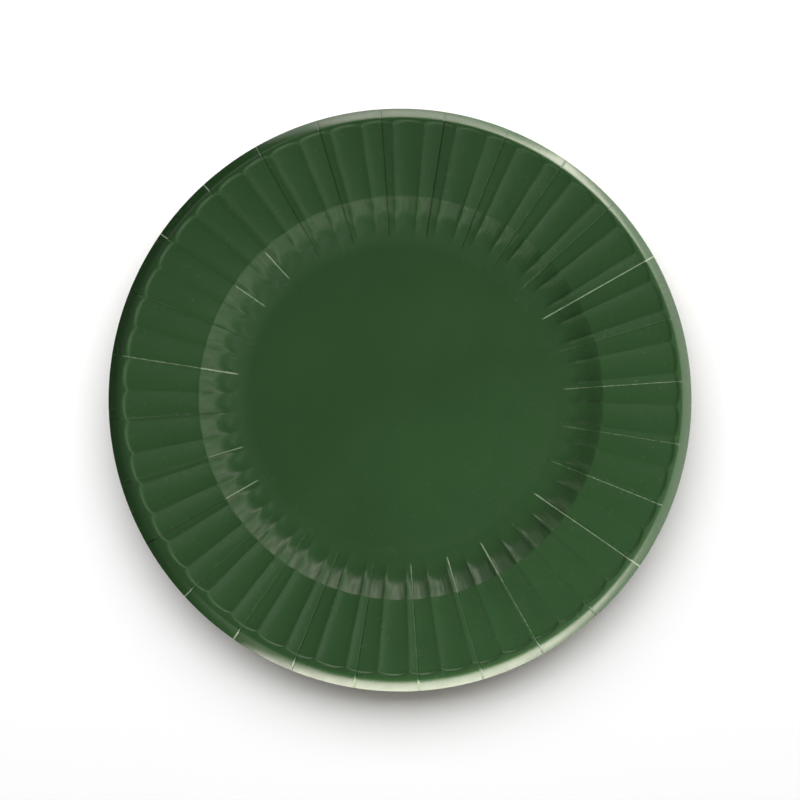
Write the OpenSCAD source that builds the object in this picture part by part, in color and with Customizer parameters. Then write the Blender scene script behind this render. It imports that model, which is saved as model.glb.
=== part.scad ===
// A stack of round paper plates, nested one in the next. Each plate is one pressed sheet of board:
// a flat well, a curved foot, a steep wall, a wide fluted rim and a lip that turns down.
// Lengths are in millimetres and angles in degrees. The stack stands on Z = 0 with its axis on Z.

/* [Stack] */
// How many plates lie in the stack
plate_count = 8; // [2:1:12]
// Clear space between two sheets where they come closest
sheet_gap = 0.14; // [0.1:0.01:0.4]

/* [Sheet] */
// Thickness of the coated board
board = 0.45; // [0.3:0.05:0.7]
// Diameter over the lip
plate_diameter = 230; // [200:1:280]

/* [Well and wall] */
// Diameter of the flat well
well_diameter = 120; // [90:1:140]
// Radius of the foot between well and wall, on the upper face
foot_radius = 22; // [14:0.5:26]
// Slope of the wall above level, in degrees
wall_slope = 42; // [36:1:50]
// Height of the straight wall, from the foot to the corner of the shoulder
wall_height = 4.3; // [3:0.1:8]
// Radius over the shoulder, on the upper face
shoulder_radius = 1.4; // [1:0.1:2.5]

/* [Rim and lip] */
// Slope of the rim above level, in degrees
rim_slope = 8; // [4:0.5:12]
// Width of the lip, from the rim to the cut edge
lip_width = 3.7; // [3:0.1:5]
// Radius of the bend from the rim to the lip, on the upper face
lip_radius = 1; // [0.8:0.1:1.4]
// Slope of the lip below level at the bend, in degrees
lip_slope = 46; // [40:1:50]
// Slope of the lip below level at the cut edge, in degrees
edge_slope = 56; // [53:1:70]

/* [Flutes] */
// Number of flutes round the rim
flute_count = 54; // [24:2:72]
// Depth of a flute under the ridges beside it
flute_depth = 0.6; // [0.3:0.05:0.7]
// Space between the round ends of the flutes and the lip
flute_margin = 0.3; // [0.2:0.1:3]
// How far a flute's round end stands out past its corners
arch_rise = 3; // [1:0.1:5]
// How long the slope is at a flute's round end
arch_slope = 2; // [1:0.1:4]
// Turn of the first ridge about the axis, in degrees
flute_turn = 5.1; // [0:0.1:6.6]

/* [Hidden] */

green = "#2f4d2a";
face_facets = 216;
foot_steps = 8;
shoulder_steps = 4;
lip_steps = 6;

// ---- The section, in the plane of radius and height, with the plate's underside on height 0 ----

function along(angle) = [cos(angle), sin(angle)];
function round_part(centre, r, from, to, steps) =
  [for (i = [0:steps]) centre + r*along(from + (to - from)*i/steps)];

wall_run = along(wall_slope);
rim_run = along(rim_slope);
wall_up = along(90 + wall_slope);
rim_up = along(90 + rim_slope);

foot_centre = [well_diameter/2, board + foot_radius];
wall_bottom = foot_centre - foot_radius*wall_up;
shoulder_corner = wall_bottom + wall_run*wall_height/wall_run[1];
shoulder_bend = (wall_slope - rim_slope)/2;
shoulder_up = along(90 + (wall_slope + rim_slope)/2);
shoulder_centre = shoulder_corner - shoulder_up*shoulder_radius/cos(shoulder_bend);

lip_start_radius = plate_diameter/2 - lip_width;
lip_start = shoulder_corner + rim_run*(lip_start_radius - shoulder_corner[0])/rim_run[0];
lip_centre = lip_start - lip_radius*rim_up;
lip_up = along(90 - lip_slope);
bend_end = lip_centre + lip_radius*lip_up;
// The lip is nearly straight: a wide arc from the bend to the cut edge
flange_radius = (plate_diameter/2 - bend_end[0])/(sin(edge_slope) - sin(lip_slope));
flange_centre = bend_end - flange_radius*lip_up;

// The sheet's face at a depth under its upper face. A plain sheet runs through the middle of the
// waves that the flutes make: its wall and shoulder sink by half a flute.
function face_line(depth, sink) = concat(
  [[0, board - depth]],
  round_part(foot_centre + [sink/sin(wall_slope), 0], foot_radius + depth,
    -90, wall_slope - 90, foot_steps),
  round_part(shoulder_centre - shoulder_up*sink/cos(shoulder_bend), shoulder_radius - depth,
    90 + wall_slope, 90 + rim_slope, shoulder_steps),
  round_part(lip_centre, lip_radius - depth, 90 + rim_slope, 90 - lip_slope, lip_steps),
  round_part(flange_centre, flange_radius - depth, 90 - lip_slope - 1, 90 - edge_slope, lip_steps));

function backwards(points) = [for (i = [len(points) - 1:-1:0]) points[i]];

// ---- Nesting: the step from one plate to the next keeps walls, flutes and lips clear ----

wave_middle = flute_depth/2;
wall_step = (board + wave_middle + sheet_gap)/cos(wall_slope);
lip_step = (board + sheet_gap)/cos(edge_slope);
nest_step = max(wall_step, lip_step);

// ---- A plain plate: the section turned about the axis ----

module plain_plate() rotate_extrude($fn = face_facets)
  polygon(concat(face_line(0, wave_middle), backwards(face_line(board, wave_middle))));

// ---- A fluted plate: rings of points, joined into one closed sheet ----

flute_pitch = 360/flute_count;
flute_end = lip_start_radius - flute_margin;

// Across a flute, from one ridge to the next: where the points stand, and their share of the depth.
// Few points are enough on the plate at the bottom of the stack.
fine_places = [0, 0.17, 0.5, 0.83];
fine_depths = [0, 0.66, 1, 0.66];
plain_places = [0, 0.22, 0.78];
plain_depths = [0, 0.9, 0.9];

// A flute ends in a round arch: its outline falls back from the middle towards each ridge
arch_power = 2.4;
function arch_back(place) =
  arch_rise*(1 - pow(1 - pow(abs(2*place - 1), arch_power), 1/arch_power));

// One ring: radius and height on the upper face, the way up from the sheet, the flute's share
foot_start = wall_slope*0.36;
foot_middle = wall_slope*0.68;
lip_middle = 90 - lip_slope*0.85;
function on_foot(a) = foot_centre + foot_radius*along(a - 90);
function on_rim(r) = shoulder_corner + rim_run*(r - shoulder_corner[0])/rim_run[0];
function ring_at(i, place) =
  i == 0 ? [on_foot(foot_middle), along(90 + foot_middle), 1] :
  i == 1 ? [wall_bottom, wall_up, 1] :
  i == 2 ? [shoulder_centre + shoulder_radius*shoulder_up, shoulder_up, 1] :
  i == 3 ? [on_rim(flute_end - arch_slope - arch_back(place)), rim_up, 1] :
  i == 4 ? [on_rim(flute_end - arch_back(place)), rim_up, 0] :
  i == 5 ? [lip_centre + lip_radius*along(lip_middle), along(lip_middle), 0] :
           [flange_centre + flange_radius*along(90 - edge_slope), along(90 - edge_slope), 0];
ring_count = 7;

function turned(p, turn) = [p[0]*cos(turn), p[0]*sin(turn), p[1]];
function ring_point(i, under, place, share, turn) =
  let (ring = ring_at(i, place))
  turned(ring[0] - ring[1]*(under + ring[2]*share*flute_depth), turn);

module fluted_plate(places, depths) {
  n = len(places);
  columns = flute_count*n;
  // Upper and lower face alike: a centre, two plain rings with one point to a flute, then the rest
  foot = 1 + flute_count;
  inner = foot + flute_count;
  side = inner + ring_count*columns;
  points = [for (under = [0, board]) each concat(
    [[0, 0, board - under]],
    [for (a = [0, foot_start], f = [0:flute_count - 1])
      turned(on_foot(a) - under*along(90 + a), flute_turn + f*flute_pitch)],
    [for (i = [0:ring_count - 1], f = [0:flute_count - 1], k = [0:n - 1])
      ring_point(i, under, places[k], depths[k], flute_turn + (f + places[k])*flute_pitch)])];
  // A face of one side, turned over for the lower side
  function lay(s, a, b, c) = s == 0 ? [c, b, a] : [a + side, b + side, c + side];
  well_faces = [for (s = [0, 1], f = [0:flute_count - 1]) each
    let (a = 1 + f, b = 1 + (f + 1)%flute_count)
      [lay(s, 0, a, b), lay(s, a, a + flute_count, b + flute_count), lay(s, a, b + flute_count, b)]];
  foot_faces = [for (s = [0, 1], f = [0:flute_count - 1]) each
    let (a = foot + f, b = foot + (f + 1)%flute_count, half = floor(n/2)) concat(
      [for (k = [0:n - 1]) lay(s, k < half ? a : b, inner + f*n + k, inner + (f*n + k + 1)%columns)],
      [lay(s, a, inner + f*n + half, b)])];
  ring_faces = [for (s = [0, 1], i = [0:ring_count - 2], c = [0:columns - 1]) each
    let (a = inner + i*columns + c, b = inner + i*columns + (c + 1)%columns)
      [lay(s, a, a + columns, b + columns), lay(s, a, b + columns, b)]];
  rim = inner + (ring_count - 1)*columns;
  edge_faces = [for (c = [0:columns - 1]) each
    let (a = rim + c, b = rim + (c + 1)%columns) [[a, b, b + side], [a, b + side, a + side]]];
  polyhedron(points, concat(well_faces, foot_faces, ring_faces, edge_faces), convexity = 6);
}

// ---- The stack ----

// The flutes show on the top plate and under the bottom one; between them they are out of sight
module plate(i) color(green) translate([0, 0, (i - 1)*nest_step]) {
  if (i == plate_count) fluted_plate(fine_places, fine_depths);
  else if (i == 1) fluted_plate(plain_places, plain_depths);
  else plain_plate();
}

for (i = [1:plate_count])
  plate(i);
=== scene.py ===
# %% [markdown]
# # A stack of paper plates
#
# A party plate is one sheet of coated board, pressed hot between two dies. The dies give it a flat
# well, a steep wall, a broad rim with flutes that stiffen it, and a lip that turns down. Score lines
# are pressed into the flat blank first, so that the board can gather as it is drawn down.
#
# The frame holds plain solids of eight plates, nested one in the next. This lesson models the sheet
# again with all its flutes, gives it its green coat and its pale board, and lights it.

# %% Load the frame
import math

import bmesh
import bpy
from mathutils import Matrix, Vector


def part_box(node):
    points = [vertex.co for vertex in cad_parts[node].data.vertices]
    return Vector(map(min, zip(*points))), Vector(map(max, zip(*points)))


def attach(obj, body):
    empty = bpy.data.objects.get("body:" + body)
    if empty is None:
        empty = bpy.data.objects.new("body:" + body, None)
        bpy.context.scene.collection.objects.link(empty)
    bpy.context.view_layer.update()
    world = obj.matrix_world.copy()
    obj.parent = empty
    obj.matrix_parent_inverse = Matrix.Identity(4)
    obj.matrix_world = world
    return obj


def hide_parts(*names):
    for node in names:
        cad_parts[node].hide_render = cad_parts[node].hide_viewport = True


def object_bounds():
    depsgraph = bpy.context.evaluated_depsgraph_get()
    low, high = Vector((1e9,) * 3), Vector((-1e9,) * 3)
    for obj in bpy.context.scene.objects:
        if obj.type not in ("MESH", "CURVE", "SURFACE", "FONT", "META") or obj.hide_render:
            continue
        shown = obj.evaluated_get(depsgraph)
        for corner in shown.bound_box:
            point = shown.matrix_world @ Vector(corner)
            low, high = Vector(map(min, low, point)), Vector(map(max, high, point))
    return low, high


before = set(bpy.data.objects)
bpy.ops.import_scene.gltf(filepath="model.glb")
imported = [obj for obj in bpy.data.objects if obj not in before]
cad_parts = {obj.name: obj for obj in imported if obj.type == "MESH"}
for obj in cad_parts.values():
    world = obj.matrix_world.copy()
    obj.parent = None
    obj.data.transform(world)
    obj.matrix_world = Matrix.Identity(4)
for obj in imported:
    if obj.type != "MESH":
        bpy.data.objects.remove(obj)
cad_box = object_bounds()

print("CAD box", [round(v, 4) for corner in cad_box for v in corner])

# %% [markdown]
# ## Sizes
#
# All lengths are in metres. The plate's width and the place of each plate come from the frame. The
# other sizes describe the section: a well, a foot of one radius, a straight wall, a small shoulder
# radius, a rim that rises a little, and a round lip. The lip is rounder and the flutes are a little
# deeper than those of the solids, because they were fitted to the highlights in the photograph.

# %% Sizes of one plate
MM = 0.001
plate_names = sorted(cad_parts)
plate_heights = [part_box(name)[0].z for name in plate_names]

board = 0.45 * MM
outer_radius = min(cad_box[1].x, cad_box[1].y)
well_radius = 60 * MM
foot_radius = 22 * MM
wall_slope = math.radians(42)
wall_height = 4.3 * MM
shoulder_radius = 1.4 * MM
rim_slope = math.radians(8)
lip_width = 6.3 * MM
lip_radius = 3.1 * MM
lip_slope = math.radians(46)
edge_slope = math.radians(54)
print(len(plate_names), "plates, step", round((plate_heights[1] - plate_heights[0]) / MM, 3), "mm")

# %% Sizes of the flutes
flute_count = 54
flute_depth = 0.8 * MM
flute_margin = 5.1 * MM
flute_turn = math.radians(5.1)
flute_pitch = 2 * math.pi / flute_count
flute_end = outer_radius - flute_margin

# The round end of a flute: how far it stands out, how long its slope is, and how square it is
arch_rise = 2.8 * MM
arch_slope = 1.9 * MM
arch_power = 2.3
arch_start = flute_end - arch_rise - arch_slope
print("a flute every", round(math.degrees(flute_pitch), 2), "degrees")

# %% [markdown]
# ## The section
#
# The section is a line of points in the plane of radius and height. Every point also knows the
# slope of the sheet there, because the flutes are pressed square to the sheet. Arcs are walked by
# slope, from one end to the other, so that each bend leaves its neighbours without a corner.


# %% Helpers for the section
def up_at(slope):
    """The way out of the sheet's upper face where it rises at that slope."""
    return -math.sin(slope), math.cos(slope)


def bend(centre, radius, start, end, steps, hollow=False):
    """Points round a bend, each with its slope; a hollow bend lies on the centre's lower side."""
    side = -radius if hollow else radius
    points = []
    for step in range(steps + 1):
        slope = start + (end - start) * step / steps
        x, z = up_at(slope)
        points.append((centre[0] + side * x, centre[1] + side * z, slope))
    return points


def straight(first, last, steps):
    """Points between two ends, without the ends."""
    slope = math.atan2(last[1] - first[1], last[0] - first[0])
    return [
        tuple(a + (b - a) * step / steps for a, b in zip(first[:2], last[:2])) + (slope,)
        for step in range(1, steps)
    ]


# %% Centres of the bends
foot_centre = (well_radius, board + foot_radius)
foot_end = bend(foot_centre, foot_radius, 0, wall_slope, 1, hollow=True)[-1]
corner = (foot_end[0] + wall_height / math.tan(wall_slope), foot_end[1] + wall_height)
shoulder_up = up_at((wall_slope + rim_slope) / 2)
corner_reach = shoulder_radius / math.cos((wall_slope - rim_slope) / 2)
shoulder_centre = tuple(c - u * corner_reach for c, u in zip(corner, shoulder_up))

lip_start_radius = outer_radius - lip_width
rim_rise = (lip_start_radius - corner[0]) * math.tan(rim_slope)
lip_start = (lip_start_radius, corner[1] + rim_rise)
lip_centre = tuple(c - lip_radius * u for c, u in zip(lip_start, up_at(rim_slope)))
bend_end = tuple(c + lip_radius * u for c, u in zip(lip_centre, up_at(-lip_slope)))
flange_radius = (outer_radius - bend_end[0]) / (math.sin(edge_slope) - math.sin(lip_slope))
flange_centre = tuple(c - flange_radius * u for c, u in zip(bend_end, up_at(-lip_slope)))
print("one plate is", round(lip_start[1] / MM, 1), "mm high where the lip starts")

# %% The section as a line of points
foot_steps, shoulder_steps, lip_steps = 8, 3, 3
wall_steps, rim_steps, arch_steps = 2, 2, 5


def section(fineness):
    """The sheet's upper face from the well to the cut edge, in those steps times the fineness."""
    foot = bend(foot_centre, foot_radius, 0, wall_slope, foot_steps * fineness, hollow=True)
    shoulder_turn = (wall_slope, rim_slope)
    shoulder = bend(shoulder_centre, shoulder_radius, *shoulder_turn, shoulder_steps * fineness)
    lip = bend(lip_centre, lip_radius, rim_slope, -lip_slope, lip_steps * fineness)
    lip += bend(flange_centre, flange_radius, -lip_slope, -edge_slope, lip_steps * fineness)[1:]
    wall = straight(foot[-1], shoulder[0], wall_steps * fineness)
    share = (arch_start - shoulder[-1][0]) / (lip[0][0] - shoulder[-1][0])
    arch_foot = tuple(a + (b - a) * share for a, b in zip(shoulder[-1][:2], lip[0][:2]))
    arch_foot += (rim_slope,)
    rim = straight(shoulder[-1], arch_foot, rim_steps * fineness) + [arch_foot]
    rim += straight(arch_foot, lip[0], arch_steps * fineness)
    return foot + wall + shoulder + rim + lip


print(len(section(2)), "points in the fine section,", len(section(1)), "in the plain one")

# %% [markdown]
# ## Selecting by place
#
# With no mouse, points are picked in code. A mesh in edit mode is looked at through bmesh, which
# marks the points that pass a test; an operator then works on what is marked.

# %% Helpers for picking
nearby = 0.01 * MM


def start_alone():
    """Back to object mode with nothing selected."""
    if bpy.context.object and bpy.context.object.mode != "OBJECT":
        bpy.ops.object.mode_set(mode="OBJECT")
    bpy.ops.object.select_all(action="DESELECT")


def pick(shape, test):
    """Selects the points that pass the test, in edit mode."""
    mesh = bmesh.from_edit_mesh(shape.data)
    for point in mesh.verts:
        point.select = bool(test(point))
    mesh.select_flush_mode()
    bmesh.update_edit_mesh(shape.data)


def radius_of(point):
    """How far the point lies from the axis."""
    return math.hypot(point.co.x, point.co.y)


# %% [markdown]
# ## One flute
#
# Each flute is a shallow trough with a round end by the lip, and neighbours meet in a narrow rounded
# ridge. As 54 of them are the same, one strip is modelled and turned round the axis. The strip
# starts as one point at the edge of the well. It is extruded along the section, and that line is
# spun through one pitch. Then each column of points is pressed into the sheet by its share of the
# depth, which is how the die does it.

# %% The shape of a trough
round_share, steep_share = 0.7, 0.3
fade_start, fade_end = 64 * MM, 71 * MM


def trough(across):
    """Share of the depth at a distance from the trough's middle line, from 0 to 1 at the ridge."""
    return max(0.0, 1 - round_share * across**2 - steep_share * across**6)


def soft_step(low, high, value):
    """A smooth change from 0 to 1 while the value goes from low to high."""
    share = min(max((value - low) / (high - low), 0), 1)
    return share * share * (3 - 2 * share)


def flute_share(radius, across):
    """How deep the sheet is pressed there, as a share of the flutes' depth."""
    arch = (1 - min(across, 1) ** arch_power) ** (1 / arch_power)
    end = flute_end - arch_rise * (1 - arch)
    fade = soft_step(fade_start, fade_end, radius) - soft_step(end - arch_slope, end, radius)
    return max(0.0, fade) * trough(across)


print("half-way to the ridge a flute keeps", round(trough(0.5), 2), "of its depth")


# %% Make the strip: extrude the section and spin it
def make_strip(name, line, columns):
    """A small plane is merged to one point, drawn out along the line and spun by one pitch."""
    start_alone()
    bpy.ops.mesh.primitive_plane_add(size=2 * MM, location=(line[0][0], 0, line[0][1]))
    strip = bpy.context.object
    strip.name = name
    bpy.ops.object.transform_apply(location=True)
    bpy.ops.object.mode_set(mode="EDIT")
    bpy.ops.mesh.select_mode(type="VERT")
    bpy.ops.mesh.select_all(action="SELECT")
    bpy.ops.mesh.merge(type="CENTER")
    for (r0, z0, _), (r1, z1, _) in zip(line, line[1:]):
        step = (r1 - r0, 0, z1 - z0)
        bpy.ops.mesh.extrude_region_move(TRANSFORM_OT_translate={"value": step})
    bpy.ops.mesh.select_all(action="SELECT")
    bpy.ops.mesh.spin(steps=columns, angle=flute_pitch, center=(0, 0, 0), axis=(0, 0, 1))
    return strip


# %% Press the trough into the strip
least_press = 0.001 * MM


def ring_and_column(strip, line, columns):
    """The points of the strip by ring and by distance from the strip's middle line."""
    mesh = bmesh.from_edit_mesh(strip.data)
    turns = [math.atan2(point.co.y, point.co.x) for point in mesh.verts]
    middle = (min(turns) + max(turns)) / 2
    places = {}
    for point, turn in zip(mesh.verts, turns):
        ring = min(range(len(line)), key=lambda i: abs(line[i][0] - radius_of(point)))
        column = round(abs(turn - middle) / flute_pitch * columns)
        places.setdefault((ring, column), set()).add(point.index)
    return places, middle


def press_trough(strip, line, columns):
    """Presses each column of points in, square to the sheet; returns the turn of the middle."""
    places, middle = ring_and_column(strip, line, columns)
    half = columns // 2
    for (ring, column), numbers in places.items():
        radius, _, slope = line[ring]
        depth = flute_depth * flute_share(radius, column / half)
        if depth < least_press:
            continue
        x, z = up_at(slope)
        pick(strip, lambda point: point.index in numbers)
        into = (-x * depth * math.cos(middle), -x * depth * math.sin(middle), -z * depth)
        bpy.ops.transform.translate(value=into)
    return middle


# %% [markdown]
# ## The whole sheet
#
# The strip is spun round the axis as 54 copies, and the points that meet on the ridges are merged.
# The well is an extrusion of the inner edge and one flat face. On the real plate the flutes and the
# well sit a little off the middle of the cut edge, because the blank lay a little off in the press,
# so the lip is narrower at the top of the photograph. Solidify then gives the sheet its thickness:
# its upper face keeps the green coat, while the underside and the cut edge are given the board.

# %% Turn the strip into a sheet
merge_reach = 0.005 * MM
well_inset = 2 * MM


def spin_round(strip, middle):
    """All the flutes, from one strip, with the first ridge turned to its place."""
    bpy.ops.mesh.select_all(action="SELECT")
    bpy.ops.mesh.spin(
        steps=flute_count - 1,
        dupli=True,
        angle=2 * math.pi - flute_pitch,
        center=(0, 0, 0),
        axis=(0, 0, 1),
    )
    bpy.ops.mesh.select_all(action="SELECT")
    bpy.ops.mesh.remove_doubles(threshold=merge_reach)
    bpy.ops.object.mode_set(mode="OBJECT")
    strip.rotation_euler.z = flute_turn + flute_pitch / 2 - middle
    bpy.ops.object.transform_apply(rotation=True)
    bpy.ops.object.mode_set(mode="EDIT")


def close_well(sheet):
    """The inner edge drawn in a little, then filled with one flat face."""
    pick(sheet, lambda point: radius_of(point) < well_radius + nearby)
    bpy.ops.mesh.extrude_region_move()
    inward = (well_radius - well_inset) / well_radius
    bpy.ops.transform.resize(value=(inward, inward, 1), center_override=(0, 0, board))
    bpy.ops.mesh.edge_face_add()


# %% Move the pressing off the middle
press_shift = (0.4 * MM, 0.9 * MM)


def shift_pressing(sheet, line):
    """Moves what the die pressed off the middle, and each ring of the lip less than the last."""
    lip = [(r, z) for r, z, _ in line if r > lip_start[0] - nearby]
    rings = {}
    for point in bmesh.from_edit_mesh(sheet.data).verts:
        place = (radius_of(point), point.co.z)
        ring = min(range(len(lip)), key=lambda i: math.dist(lip[i], place))
        inside = place[0] < lip[0][0] + nearby
        rings.setdefault(0 if inside else ring, set()).add(point.index)
    for ring, numbers in rings.items():
        share = 1 - ring / (len(lip) - 1)
        pick(sheet, lambda point: point.index in numbers)
        bpy.ops.transform.translate(value=(press_shift[0] * share, press_shift[1] * share, 0))


# %% Give the sheet its board
smooth_below = math.radians(40)


def thicken(sheet):
    """Face, underside and cut edge get their own material slots, in that order."""
    bpy.ops.mesh.select_all(action="SELECT")
    bpy.ops.mesh.normals_make_consistent(inside=False)
    bpy.ops.object.mode_set(mode="OBJECT")
    well_face = max(sheet.data.polygons, key=lambda face: face.area)
    if well_face.normal.z < 0:
        sheet.data.flip_normals()
    for finish in (green_coat, bare_board, cut_edge):
        sheet.data.materials.append(finish)
    wall = sheet.modifiers.new("board", "SOLIDIFY")
    wall.thickness = board
    wall.offset = -1
    wall.use_even_offset = True
    wall.material_offset = 1
    wall.material_offset_rim = 2
    bpy.ops.object.modifier_apply(modifier=wall.name)
    bpy.ops.object.shade_smooth_by_angle(angle=smooth_below)


# %% [markdown]
# ## Finishes
#
# The coat is a dark green print under a clear gloss, and the underside and the cut edge are bare
# board. A painted picture could carry them, but it would blur from near by. So each finish is a
# formula on the sheet's own coordinates: the distance from the axis and the angle round it tell
# whether a place lies on the wall, at the end of a flute or on a score line.


# %% Helpers for numbers in a material
def plug(tree, value, socket):
    """Gives a socket a value, or a link to another node."""
    if isinstance(value, bpy.types.NodeSocket):
        tree.links.new(value, socket)
    else:
        socket.default_value = value


def calc(tree, operation, *values):
    """One step of arithmetic on numbers or on other nodes' results."""
    node = tree.nodes.new("ShaderNodeMath")
    node.operation = operation
    for value, socket in zip(values, node.inputs):
        plug(tree, value, socket)
    return node.outputs[0]


def ramp_between(tree, value, low, high, start=0.0, end=1.0):
    """A smooth change from start to end while the value goes from low to high."""
    node = tree.nodes.new("ShaderNodeMapRange")
    node.interpolation_type = "SMOOTHSTEP"
    for value, socket in zip((value, low, high, start, end), node.inputs):
        plug(tree, value, socket)
    return node.outputs["Result"]


def blend_numbers(tree, share, first, second):
    """The first number where the share is 0 and the second where it is 1."""
    node = tree.nodes.new("ShaderNodeMix")
    for value, socket in zip((share, first, second), (0, 2, 3)):
        plug(tree, value, node.inputs[socket])
    return node.outputs[0]


def distance_from_axis(tree, x, y):
    """The length of the way from the axis to that place."""
    squares = calc(tree, "ADD", calc(tree, "MULTIPLY", x, x), calc(tree, "MULTIPLY", y, y))
    return calc(tree, "SQRT", squares)


# %% Helpers for colour, noise and relief
even_spread = (0.3, 0.7)


def blend_colours(tree, share, first, second):
    """The first colour where the share is 0 and the second where it is 1."""
    node = tree.nodes.new("ShaderNodeMix")
    node.data_type = "RGBA"
    plug(tree, share, node.inputs["Factor"])
    plug(tree, first, node.inputs[6])
    plug(tree, second, node.inputs[7])
    return node.outputs[2]


def cloud(tree, place, size, detail=2.0):
    """Soft noise from 0 to 1 with patches of about that size in metres."""
    node = tree.nodes.new("ShaderNodeTexNoise")
    node.inputs["Scale"].default_value = 1 / size
    node.inputs["Detail"].default_value = detail
    tree.links.new(place, node.inputs["Vector"])
    return node.outputs["Fac"]


def emboss(tree, height, depth, under=None):
    """A bump of that depth in metres, laid over another one."""
    node = tree.nodes.new("ShaderNodeBump")
    node.inputs["Distance"].default_value = depth
    tree.links.new(height, node.inputs["Height"])
    if under is not None:
        tree.links.new(under, node.inputs["Normal"])
    return node.outputs["Normal"]


def new_finish(name):
    """An empty finish with its nodes and its shader."""
    finish = bpy.data.materials.new(name)
    finish.use_nodes = True
    tree = finish.node_tree
    return finish, tree, tree.nodes["Principled BSDF"]


def sheet_place(tree):
    """The place on the sheet, and the same as x, y and the distance from the axis."""
    place = tree.nodes.new("ShaderNodeTexCoord").outputs["Object"]
    axes = tree.nodes.new("ShaderNodeSeparateXYZ")
    tree.links.new(place, axes.inputs[0])
    x, y = axes.outputs[0], axes.outputs[1]
    return place, (x, y, distance_from_axis(tree, x, y))


# %% [markdown]
# ## Score lines
#
# The scores let the board gather along straight lines. Where one is pulled open, the coat cracks and
# shows pale board, and where it closes, it is a crease that the finish darkens with painted shade.
# They could be cut as grooves, but they are hardly wider than one face of the sheet, so the finish
# draws them. The angle round the axis is counted in scores, and what is left over is the distance to
# the nearest one.

# %% Where the scores are and how they look
score_count = 28
first_score = math.radians(3.8)
score_start = 64.3 * MM
score_fade = 2 * MM

# How each score looks on the rim, on the wall and on the lip, counted from the photograph's right
# against the clock: 0.5 can't be seen, more is cracked and pale, less is a crease darkened with
# painted shade.
unseen = 0.5
score_looks = [
    (0.75, 0.75, 0.60), (0.60, 0.65, 0.50), (0.85, 0.90, 0.90), (0.50, 0.70, 0.50),
    (0.35, 0.45, 0.50), (0.30, 0.25, 0.50), (0.10, 0.15, 0.40), (0.20, 0.25, 0.45),
    (0.18, 0.25, 0.50), (0.25, 0.35, 0.45), (0.45, 0.85, 0.95), (0.45, 0.85, 0.95),
    (0.46, 0.60, 0.50), (0.75, 0.95, 0.70), (0.62, 0.55, 0.50), (0.50, 0.80, 0.50),
    (0.30, 0.85, 0.20), (0.46, 0.60, 0.90), (0.45, 0.60, 0.95), (0.35, 0.60, 0.95),
    (0.30, 0.60, 0.95), (0.62, 0.75, 0.95), (0.60, 0.90, 0.60), (0.72, 0.92, 0.55),
    (0.50, 0.70, 0.50), (0.80, 1.00, 1.00), (0.75, 0.70, 0.55), (0.70, 0.70, 0.55),
]
print("a score every", round(360 / score_count, 1), "degrees")


# %% The nearest score line
def count_scores(tree, x, y, radius):
    """The distance to the nearest score line, and that line's number."""
    turn = calc(tree, "SUBTRACT", calc(tree, "ARCTAN2", y, x), first_score)
    counted = calc(tree, "MULTIPLY", turn, score_count / (2 * math.pi))
    number = calc(tree, "ROUND", counted)
    aside = calc(tree, "ABSOLUTE", calc(tree, "SUBTRACT", counted, number))
    arc = calc(tree, "MULTIPLY", aside, 2 * math.pi / score_count)
    return calc(tree, "MULTIPLY", arc, radius), number


def looks_of_score(tree, number):
    """The looks on rim, wall and lip of the score with that number, kept in a colour ramp."""
    looks = tree.nodes.new("ShaderNodeValToRGB")
    looks.color_ramp.interpolation = "CONSTANT"
    stops = looks.color_ramp.elements
    while len(stops) < score_count:
        stops.new(1)
    for i, (stop, shares) in enumerate(zip(stops, score_looks)):
        stop.position = i / score_count
        stop.color = (*shares, 1)
    # Half a score more, so that the number falls in the middle of its stop
    counted = calc(tree, "ADD", number, score_count + 0.5)
    share = calc(tree, "FRACT", calc(tree, "DIVIDE", counted, score_count))
    tree.links.new(share, looks.inputs[0])
    parts = tree.nodes.new("ShaderNodeSeparateColor")
    tree.links.new(looks.outputs[0], parts.inputs[0])
    return parts.outputs


# %% Cracks and creases
rim_from = (78.5 * MM, 80 * MM)
lip_from = (110.5 * MM, 111.5 * MM)
crack_reach = 0.38 * MM
crack_edge = (0.2 * MM, -0.1 * MM)
crack_patches = 1.2 * MM
crack_unevenness = 0.35 * MM
crease_width = (0.45 * MM, 0.1 * MM)


def score_marks(tree, place, x, y, radius):
    """Shares of each place that are cracked and pale, that are creased, and that are darkened with
    painted shade.
    """
    distance, number = count_scores(tree, x, y, radius)
    on_rim, on_wall, on_lip = looks_of_score(tree, number)
    look = blend_numbers(tree, ramp_between(tree, radius, *rim_from), on_wall, on_rim)
    look = blend_numbers(tree, ramp_between(tree, radius, *lip_from), look, on_lip)
    scored = ramp_between(tree, radius, score_start, score_start + score_fade)

    uneven = calc(tree, "MULTIPLY", cloud(tree, place, crack_patches, 3), crack_unevenness)
    reach = calc(tree, "MULTIPLY", ramp_between(tree, look, unseen, 1.0), crack_reach)
    edge = calc(tree, "SUBTRACT", calc(tree, "ADD", distance, uneven), reach)
    crack = calc(tree, "MULTIPLY", ramp_between(tree, edge, *crack_edge), scored)
    crease = calc(tree, "MULTIPLY", ramp_between(tree, distance, *crease_width), scored)
    # Painted shade: creases whose look is below 0.5 get a darker colour
    dark = calc(tree, "MULTIPLY", crease, ramp_between(tree, look, unseen, 0.0))
    return crack, crease, dark


# %% [markdown]
# ## Wrinkles and the ends of the flutes
#
# On the wall the board gathers in fine wrinkles that run straight down, and the die leaves a crisp
# edge round the end of each flute. The wrinkles could be modelled, but the finest are narrower than
# the faces of the sheet, so they are a bump: noise that is drawn out along the radius. The ends of
# the flutes are in the mesh, and a bump with the same arch formula only makes their edge crisp.

# %% Wrinkles on the wall
wall_from = (66 * MM, 73 * MM)
wall_to = (81 * MM, 79 * MM)
wall_middle = 76 * MM
wrinkle_size = 1.6 * MM
wrinkle_stretch = 0.25


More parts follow.
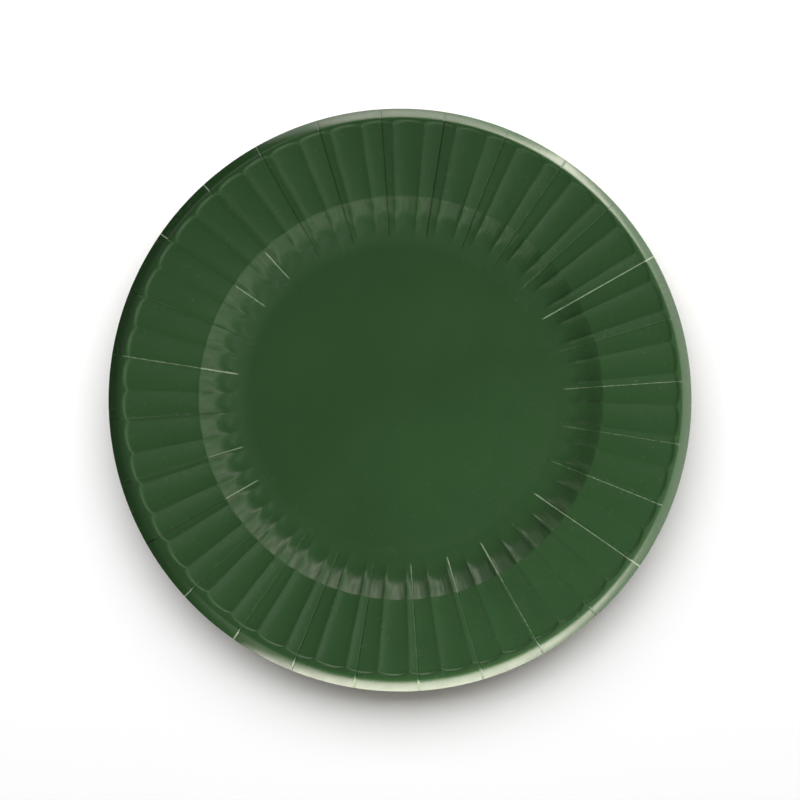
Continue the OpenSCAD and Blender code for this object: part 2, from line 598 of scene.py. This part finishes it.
def wall_wrinkles(tree, x, y, radius):
    """Noise that changes quickly round the wall and slowly down it."""
    along = tree.nodes.new("ShaderNodeCombineXYZ")
    for value, socket in ((x, 0), (y, 1)):
        unit = calc(tree, "DIVIDE", value, radius)
        plug(tree, calc(tree, "MULTIPLY", unit, wall_middle), along.inputs[socket])
    plug(tree, calc(tree, "MULTIPLY", radius, wrinkle_stretch), along.inputs[2])
    on_wall = ramp_between(tree, radius, *wall_from)
    on_wall = calc(tree, "MULTIPLY", on_wall, ramp_between(tree, radius, *wall_to))
    return calc(tree, "MULTIPLY", cloud(tree, along.outputs[0], wrinkle_size, 3), on_wall)


# %% Crisp edge at the flutes' ends
crisp_edge = (-0.2 * MM, 1.3 * MM)


def flute_ends(tree, x, y):
    """1 inside the flutes, falling to 0 over the crisp edge of their round ends."""
    x = calc(tree, "SUBTRACT", x, press_shift[0])
    y = calc(tree, "SUBTRACT", y, press_shift[1])
    turn = calc(tree, "SUBTRACT", calc(tree, "ARCTAN2", y, x), flute_turn)
    place = calc(tree, "FRACT", calc(tree, "DIVIDE", turn, flute_pitch))
    across = calc(tree, "ABSOLUTE", calc(tree, "SUBTRACT", calc(tree, "MULTIPLY", place, 2), 1))
    side = calc(tree, "SUBTRACT", 1, calc(tree, "POWER", across, arch_power))
    back = calc(tree, "SUBTRACT", 1, calc(tree, "POWER", side, 1 / arch_power))
    end = calc(tree, "SUBTRACT", flute_end, calc(tree, "MULTIPLY", back, arch_rise))
    inside = calc(tree, "SUBTRACT", end, distance_from_axis(tree, x, y))
    return ramp_between(tree, inside, *crisp_edge)


# %% [markdown]
# ## The green coat
#
# The print isn't even: it is a little cloudy, with paler fibres here and there, and its gloss
# changes from place to place. Colour, gloss and relief are worked out from the same marks, so that a
# crack is pale and dull and lies in its crease.

# %% Colours of the coat
deep_green = (0.0185, 0.061, 0.0155, 1)
fresh_green = (0.0225, 0.069, 0.018, 1)
fibre_green = (0.030, 0.08, 0.025, 1)
# Painted shade, laid into the dark creases
crease_shade_green = (0.006, 0.016, 0.005, 1)
cracked_green = (0.28, 0.36, 0.23, 1)
cloud_size = 45 * MM
fibre_size = 0.45 * MM
fibre_from = (0.78, 0.84)
fibre_strength = 0.5


def coat_colour(tree, place, crack, dark):
    """Cloudy green with fibres, darkened with painted shade in the creases, and pale in the cracks.
    """
    clouds = ramp_between(tree, cloud(tree, place, cloud_size), *even_spread)
    green = blend_colours(tree, clouds, deep_green, fresh_green)
    fibres = cloud(tree, place, fibre_size, 1)
    fibres = ramp_between(tree, fibres, *fibre_from, 0, fibre_strength)
    green = blend_colours(tree, fibres, green, fibre_green)
    # Painted shade in the creases
    green = blend_colours(tree, dark, green, crease_shade_green)
    return blend_colours(tree, crack, green, cracked_green)


# %% Gloss and relief of the coat
gloss_patches = 6 * MM
gloss_range = (0.22, 0.28)
wrinkle_tops = (0.45, 0.62)
wrinkled_gloss = 0.1
tooth_size = 1.5 * MM
tooth_depth = 0.0022 * MM
wrinkle_depth = 0.18 * MM
flute_end_depth = 0.3 * MM
crease_depth = 0.18 * MM


def coat_roughness(tree, place, wrinkles, crack):
    """Uneven gloss, duller on the wrinkles and dull in the cracks."""
    patches = cloud(tree, place, gloss_patches, 3)
    gloss = ramp_between(tree, patches, *even_spread, *gloss_range)
    duller = ramp_between(tree, wrinkles, *wrinkle_tops, 0, wrinkled_gloss)
    return calc(tree, "MAXIMUM", calc(tree, "ADD", gloss, duller), crack)


def coat_relief(tree, place, x, y, wrinkles, crease):
    """The board's tooth, the wrinkles, the flutes' ends and the creases, one over the other."""
    relief = emboss(tree, cloud(tree, place, tooth_size, 4), tooth_depth)
    relief = emboss(tree, wrinkles, wrinkle_depth, relief)
    pressed = calc(tree, "MULTIPLY", flute_ends(tree, x, y), -1)
    relief = emboss(tree, pressed, flute_end_depth, relief)
    groove = calc(tree, "MULTIPLY", crease, -1)
    return emboss(tree, groove, crease_depth, relief)


# %% Make the green coat
def make_green_coat():
    """The printed and coated upper face."""
    finish, tree, shader = new_finish("green_coat")
    place, (x, y, radius) = sheet_place(tree)
    crack, crease, dark = score_marks(tree, place, x, y, radius)
    wrinkles = wall_wrinkles(tree, x, y, radius)
    plug(tree, coat_colour(tree, place, crack, dark), shader.inputs["Base Color"])
    plug(tree, coat_roughness(tree, place, wrinkles, crack), shader.inputs["Roughness"])
    plug(tree, coat_relief(tree, place, x, y, wrinkles, crease), shader.inputs["Normal"])
    shader.inputs["IOR"].default_value = 1.5
    return finish


green_coat = make_green_coat()
print(green_coat.name, "has", len(green_coat.node_tree.nodes), "nodes")

# %% [markdown]
# ## Bare board
#
# The underside and the cut edge have no coat. Board is matt, a little brown and full of short
# fibres, and what is a crease above is a fine ridge below. Both finishes come from one function,
# because they differ only in colour and grain.

# %% Make the bare board
fibre_spread = (0.35, 0.7)
board_tooth = 0.03 * MM
ridge_width = (0.4 * MM, 0.1 * MM)
ridge_depth = 0.1 * MM


def make_board(name, light, dark, grain):
    """Matt board with fibres of that grain, and ridges under the score lines."""
    finish, tree, shader = new_finish(name)
    place, (x, y, radius) = sheet_place(tree)
    distance, _ = count_scores(tree, x, y, radius)
    fibres = ramp_between(tree, cloud(tree, place, grain, 6), *fibre_spread)
    plug(tree, blend_colours(tree, fibres, light, dark), shader.inputs["Base Color"])
    shader.inputs["Roughness"].default_value = 0.75
    relief = emboss(tree, cloud(tree, place, grain, 6), board_tooth)
    ridge = ramp_between(tree, distance, *ridge_width)
    plug(tree, emboss(tree, ridge, ridge_depth, relief), shader.inputs["Normal"])
    return finish


bare_board = make_board("bare_board", (0.62, 0.58, 0.48, 1), (0.54, 0.49, 0.39, 1), 1.5 * MM)
cut_edge = make_board("cut_edge", (0.50, 0.50, 0.38, 1), (0.36, 0.37, 0.26, 1), 0.4 * MM)
print("board finishes:", bare_board.name, cut_edge.name)


# %% [markdown]
# ## The stack
#
# The top plate and the bottom plate are fine sheets, because the eye can follow their flutes. The
# plates between them show only their lips, so they are copies of a sheet with fewer points. Every
# copy is raised to the place of its solid in the frame and stands for that solid.


# %% Make the sheets
def make_sheet(name, fineness, columns):
    """One whole plate: strip, flutes, well, shifted pressing and board."""
    line = section(fineness)
    sheet = make_strip(name, line, columns)
    spin_round(sheet, press_trough(sheet, line, columns))
    close_well(sheet)
    shift_pressing(sheet, line)
    thicken(sheet)
    print(name, len(sheet.data.vertices), "points")
    return sheet


fine_sheet = make_sheet("fine_sheet", fineness=2, columns=16)
plain_sheet = make_sheet("plain_sheet", fineness=1, columns=8)


# %% Lay the stack
def lay_plate(sheet, number, name, height):
    """A copy of the sheet at its height, standing for the solid of that name."""
    plate = sheet.copy()
    plate.data = sheet.data.copy()
    plate.name = "pressed_plate_%d" % number
    bpy.context.collection.objects.link(plate)
    start_alone()
    plate.select_set(True)
    bpy.context.view_layer.objects.active = plate
    plate.location.z = height
    bpy.ops.object.transform_apply(location=True)
    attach(plate, "root")
    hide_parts(name)
    return plate


plates = []
for number, (name, height) in enumerate(zip(plate_names, plate_heights), 1):
    shown_whole = number in (1, len(plate_names))
    plates.append(lay_plate(fine_sheet if shown_whole else plain_sheet, number, name, height))
for sheet in (fine_sheet, plain_sheet):
    bpy.data.objects.remove(sheet)
triangles = sum(len(face.vertices) - 2 for plate in plates for face in plate.data.polygons)
print(len(plates), "plates laid,", triangles, "triangles")

# %% [markdown]
# ## Floor
#
# The plates were photographed from straight above on white. More light would make any floor white,
# but it would wash out the green as well, so the white is the floor's own colour. The floor is wide
# enough to be the backdrop too, and it keeps the soft shadow of the stack.

# %% Floor and backdrop
floor_gap = 0.05 * MM


def make_floor():
    """A wide white plane just under the stack."""
    start_alone()
    bpy.ops.mesh.primitive_plane_add(size=6, location=(0, 0, -floor_gap))
    floor = bpy.context.object
    floor.name = "floor"
    finish, _, shader = new_finish("white_floor")
    shader.inputs["Base Color"].default_value = (0.95, 0.95, 0.95, 1)
    shader.inputs["Roughness"].default_value = 0.9
    floor.data.materials.append(finish)
    return floor


floor = make_floor()
print("floor", round(floor.dimensions.x, 1), "m wide")

# %% [markdown]
# ## Lights
#
# A glossy plate shows every lamp as a highlight, so broad light and highlights are made apart. One
# wide lamp at the top of the picture lights the floor alone and throws the shadow down the picture.
# One broad light from the lower right lights the plates alone, at the level where the green comes
# out as it is written. Both are kept out of the gloss, and two faint windows add a little sheen.


# %% Helpers for lamps
def area_lamp(name, place, turn, size, power, colour):
    """An area lamp that the camera doesn't see."""
    start_alone()
    bpy.ops.object.light_add(type="AREA", location=place, rotation=turn)
    lamp = bpy.context.object
    lamp.name = name
    lamp.data.shape = "RECTANGLE"
    lamp.data.size, lamp.data.size_y = size
    lamp.data.energy = power
    lamp.data.color = colour
    lamp.visible_camera = False
    return lamp


def aim_lamp(name, azimuth, elevation, distance, size, power, colour=(1, 1, 1)):
    """An area lamp that looks at the stack from that bearing; 0 is the photograph's right."""
    a, e = math.radians(azimuth), math.radians(elevation)
    place = [distance * math.cos(e) * c for c in (math.cos(a), math.sin(a))]
    place.append(distance * math.sin(e))
    turn = (math.pi / 2 - e, 0, a + math.pi / 2)
    return area_lamp(name, place, turn, size, power, colour)


def light_only(lamp, shapes):
    """The lamp lights these objects and passes over all others."""
    lit = bpy.data.collections.new(lamp.name + "_on")
    for shape in shapes:
        lit.objects.link(shape)
    lamp.light_linking.receiver_collection = lit


# %% Broad light and windows
high = aim_lamp("high_light", azimuth=91, elevation=57, distance=1.5, size=(3.0, 1.3), power=43)
light_only(high, [floor])
broad = aim_lamp(
    "broad_light", azimuth=316, elevation=58, distance=0.56, size=(0.3, 0.3), power=2.75
)
light_only(broad, plates)
for lamp in (high, broad):
    lamp.visible_glossy = False

# Each window's bearing in degrees and its power in watts
windows = {"right_window": (5, 0.35), "left_window": (190, 0.12)}
for name, (azimuth, power) in windows.items():
    window = aim_lamp(name, azimuth, elevation=63, distance=1.6, size=(0.45, 0.5), power=power)
    light_only(window, plates)
print(high.name, high.data.energy, "W,", broad.name, round(broad.data.energy, 2), "W")

# %% [markdown]
# ## Highlights
#
# In the photograph a pale band runs round the wall, and the lip shines all along the bottom and the
# right. The wall faces a ring that stands low round the plate, so strips of light stand there. The
# lip faces down and out and shows only what lies on the floor: glowing cards where it is bright, and
# dark felts at the left, where it is dark and would otherwise show the white floor.

# %% Low strips for the wall
strip_elevation = 9
strip_distance = 1.2
strip_size = (0.87, 0.42)
strip_colour = (1.0, 1.0, 0.85)

# The bearing of each strip in degrees and its power in watts
strips = [(245, 0.85), (285, 1.5), (325, 1.5), (5, 1.7), (45, 2.2), (85, 3.2), (125, 0.7)]
for azimuth, power in strips:
    name = "low_strip_%d" % azimuth
    strip = aim_lamp(name, azimuth, strip_elevation, strip_distance, strip_size, power, strip_colour)
    light_only(strip, plates)
print(len(strips), "strips round the plates")

# %% Cards for the lip
card_height = 2 * MM
card_colour = (1.0, 0.92, 0.82)


def lay_card(name, place, size, power):
    """A glowing card that lies on the floor beside the stack and shines up."""
    return area_lamp(name, (*place, card_height), (math.pi, 0, 0), size, power, card_colour)


cards = [
    lay_card("bottom_card", (0.11, -0.385), (0.42, 0.47), 6.8),
    lay_card("top_card", (0.265, 0.34), (0.37, 0.44), 4.0),
    lay_card("top_middle_card", (0.02, 0.30), (0.14, 0.30), 0.36),
    lay_card("right_card", (0.36, 0.0), (0.44, 0.28), 0.3),
]
print(len(cards), "cards on the floor")

# %% Felts for the dark side of the lip
felt_height = 1 * MM


def make_felt_finish():
    """Black cloth without any shine."""
    finish, _, shader = new_finish("dark_felt")
    shader.inputs["Base Color"].default_value = (0.01, 0.01, 0.01, 1)
    shader.inputs["Specular IOR Level"].default_value = 0
    return finish


def lay_felt(name, place, size, finish):
    """Dark felt on the floor, which shows only in the gloss."""
    start_alone()
    bpy.ops.mesh.primitive_plane_add(size=1, location=(*place, felt_height))
    felt = bpy.context.object
    felt.name = name
    felt.scale = (*size, 1)
    bpy.ops.object.transform_apply(scale=True)
    felt.data.materials.append(finish)
    felt.visible_camera = False
    felt.visible_diffuse = False
    felt.visible_shadow = False


dark_felt = make_felt_finish()
lay_felt("left_felt", (-0.4325, -0.12), (0.695, 0.48), dark_felt)
lay_felt("top_left_felt", (-0.435, 0.4025), (0.73, 0.635), dark_felt)
print(dark_felt.name, "on", dark_felt.users, "felts")

# %% Even light from all round
world = bpy.data.worlds.new("studio")
world.use_nodes = True
background = world.node_tree.nodes["Background"]
background.inputs["Color"].default_value = (1, 1, 1, 1)
background.inputs["Strength"].default_value = 0.21
bpy.context.scene.world = world
bpy.context.scene.view_settings.view_transform = "Standard"
print("even light", round(background.inputs["Strength"].default_value, 2))

# %% [markdown]
# ## Camera
#
# The photograph looks straight down. The camera stands 1.5 m above the rim, from where the plate
# shows hardly any perspective, and its lens is worked out so that the plate's radius takes as many
# pixels as in the photograph.

# %% Camera
frame_pixels = 800
plate_radius_pixels = 292.5
camera_distance = 1.5
start_alone()
bpy.ops.object.camera_add(location=(0, 0, plate_heights[-1] + lip_start[1] + camera_distance))
camera = bpy.context.object
camera.data.sensor_width = 36
seen_half = outer_radius * frame_pixels / 2 / plate_radius_pixels
camera.data.lens = camera.data.sensor_width / 2 * camera_distance / seen_half
bpy.context.scene.camera = camera
print("lens", round(camera.data.lens, 1), "mm")
